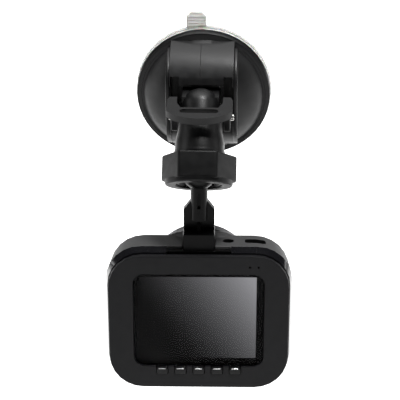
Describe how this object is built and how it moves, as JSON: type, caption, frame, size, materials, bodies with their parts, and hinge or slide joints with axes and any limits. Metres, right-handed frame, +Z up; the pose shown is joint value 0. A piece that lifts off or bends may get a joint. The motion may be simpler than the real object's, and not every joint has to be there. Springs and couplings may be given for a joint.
{
  "type": "dash camera",
  "caption": "Dash camera with a rear screen, hung from a ball joint and a suction mount with a cam lever.",
  "frame": {"origin": "middle of the suction cup's sealing face", "axes": "+Z up, +Y through the windscreen, +X to the driver's right; the screen faces -Y"},
  "size_m": [0.066, 0.0527, 0.1289],
  "materials": {
    "housing_black": "satin moulded",
    "clear_gel": "clear soft gel",
    "stud_plastic": "moulded",
    "axle_steel": "turned",
    "lever_black": "satin moulded",
    "arm_black": "satin moulded",
    "screw_steel": "plain",
    "nut_black": "satin moulded",
    "collet_plastic": "moulded",
    "bracket_black": "satin moulded",
    "bezel_black": "matte",
    "trim_gloss": "gloss",
    "shell_grey": "fine grain",
    "ring_silver": "satin silver",
    "lens_black": "black",
    "lens_glass": "coated",
    "screen_window": "smoked",
    "screen_panel": "dark",
    "keypad_rubber": "moulded",
    "circuit_board": "solder mask",
    "sensor_chip": "chip",
    "battery_foil": "foil pouch",
    "speaker_black": "black",
    "led_lens": "clear red",
    "card_plastic": "moulded",
    "key_cap": "satin"
  },
  "bodies": {
    "mount": {"suction_housing": "housing_black", "suction_cup": "clear_gel", "arm": "arm_black", "arm_screw_1": "screw_steel", "arm_screw_2": "screw_steel"},
    "stud": {"cup_stud": "stud_plastic", "lever_axle": "axle_steel"},
    "lever": {"cam_lever": "lever_black"},
    "nut": {"clamp_nut": "nut_black"},
    "collet": {"collet": "collet_plastic"},
    "camera": {"ball_bracket": "bracket_black", "rear_bezel": "bezel_black", "trim_band": "trim_gloss", "front_shell": "shell_grey", "lens_ring": "ring_silver", "lens_cone": "lens_black", "lens_barrel": "lens_black", "lens_glass": "lens_glass", "lcd_window": "screen_window", "lcd_panel": "screen_panel", "key_pad": "keypad_rubber", "main_board": "circuit_board", "image_sensor": "sensor_chip", "battery": "battery_foil", "speaker": "speaker_black", "microphone": "screw_steel", "status_led": "led_lens", "usb_socket": "screw_steel", "av_jack": "stud_plastic", "card_socket": "screw_steel", "case_screw_1": "screw_steel", "case_screw_2": "screw_steel", "case_screw_3": "screw_steel", "case_screw_4": "screw_steel"},
    "card": {"memory_card": "card_plastic"},
    "key_1": {"key_1": "key_cap"},
    "key_2": {"key_2": "key_cap"},
    "key_3": {"key_3": "key_cap"},
    "key_4": {"key_4": "key_cap"},
    "key_5": {"key_5": "key_cap"}
  },
  "joints": [
    {"name": "lever_hinge", "type": "hinge", "parent": "stud", "child": "lever", "pos_m": [0, -0.02336, -0.00454], "axis": [-1, 0, 0], "range_deg": [0, 38]},
    {"name": "stud_slide", "type": "slide", "parent": "mount", "child": "stud", "axis": [0, 0.9816, 0.1908], "range_m": [0, 0.0015]},
    {"name": "nut_spin", "type": "hinge", "parent": "mount", "child": "nut", "pos_m": [0, -0.0354, -0.02043], "axis": [0, 0.4695, 0.8829], "range_deg": [-180, 180]},
    {"name": "ball_pan", "type": "hinge", "parent": "mount", "child": "collet", "pos_m": [0, -0.0354, -0.02043], "axis": [0, 0.4695, 0.8829], "range_deg": [-30, 30]},
    {"name": "ball_tilt", "type": "hinge", "parent": "collet", "child": "camera", "pos_m": [0, -0.0354, -0.02043], "axis": [-1, 0, 0], "range_deg": [-5, 55]},
    {"name": "card_slide", "type": "slide", "parent": "camera", "child": "card", "axis": [0, 0, -1], "range_m": [0, 0.014]},
    {"name": "key_1_press", "type": "slide", "parent": "camera", "child": "key_1", "axis": [-0.0349, 0.9994, 0], "range_m": [0, 0.0004], "stiffness_N_per_m": 300, "springref_m": -0.0005},
    {"name": "key_2_press", "type": "slide", "parent": "camera", "child": "key_2", "axis": [-0.0349, 0.9994, 0], "range_m": [0, 0.0004], "stiffness_N_per_m": 300, "springref_m": -0.0005},
    {"name": "key_3_press", "type": "slide", "parent": "camera", "child": "key_3", "axis": [-0.0349, 0.9994, 0], "range_m": [0, 0.0004], "stiffness_N_per_m": 300, "springref_m": -0.0005},
    {"name": "key_4_press", "type": "slide", "parent": "camera", "child": "key_4", "axis": [-0.0349, 0.9994, 0], "range_m": [0, 0.0004], "stiffness_N_per_m": 300, "springref_m": -0.0005},
    {"name": "key_5_press", "type": "slide", "parent": "camera", "child": "key_5", "axis": [-0.0349, 0.9994, 0], "range_m": [0, 0.0004], "stiffness_N_per_m": 300, "springref_m": -0.0005}
  ],
  "couplings": [
    {"joint": "lever_hinge", "follows": "stud_slide", "rad_per_m": 442.15}
  ]
}
